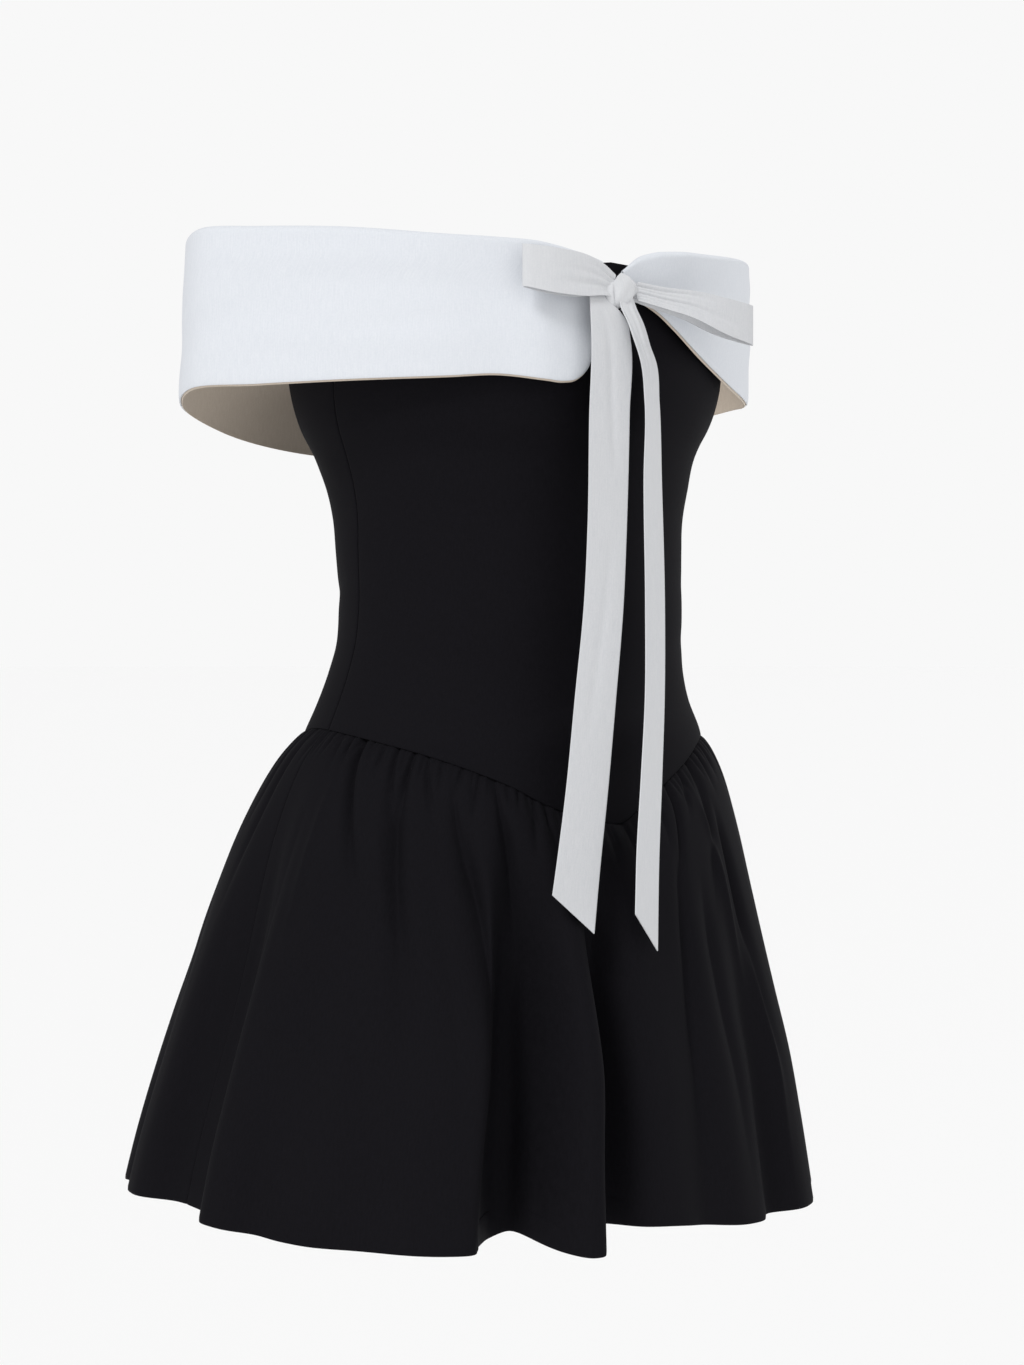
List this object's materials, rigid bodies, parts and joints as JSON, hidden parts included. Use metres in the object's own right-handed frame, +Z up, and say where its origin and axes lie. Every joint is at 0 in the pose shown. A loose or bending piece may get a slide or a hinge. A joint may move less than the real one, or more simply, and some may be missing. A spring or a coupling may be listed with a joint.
{
  "type": "off-shoulder dress",
  "caption": "Worn off-shoulder mini dress with fold-over collar, ribbon bow with long tails, smooth bodice and gathered skirt on a pointed dropped seam.",
  "frame": {"origin": "middle of the worn waist, where the wearer holds the dress up", "axes": "+Z up along the worn garment, -Y out of the garment's front, +X towards the garment's own left side"},
  "size_m": [0.4855, 0.428, 0.6474],
  "materials": {
    "black_crepe": "matte",
    "white_crepe": "matte",
    "off_white_ribbon": "soft satin"
  },
  "bodies": {
    "root": {"bodice_front": "black_crepe", "bodice_back_left": "black_crepe", "bodice_back_right": "black_crepe", "skirt_front": "black_crepe", "skirt_back": "black_crepe", "collar_right": "white_crepe", "collar_left": "white_crepe", "bow_knot": "off_white_ribbon", "bow_loop_right": "off_white_ribbon", "bow_loop_left": "off_white_ribbon", "tie_tail_right": "off_white_ribbon", "tie_tail_left": "off_white_ribbon"}
  },
  "joints": []
}
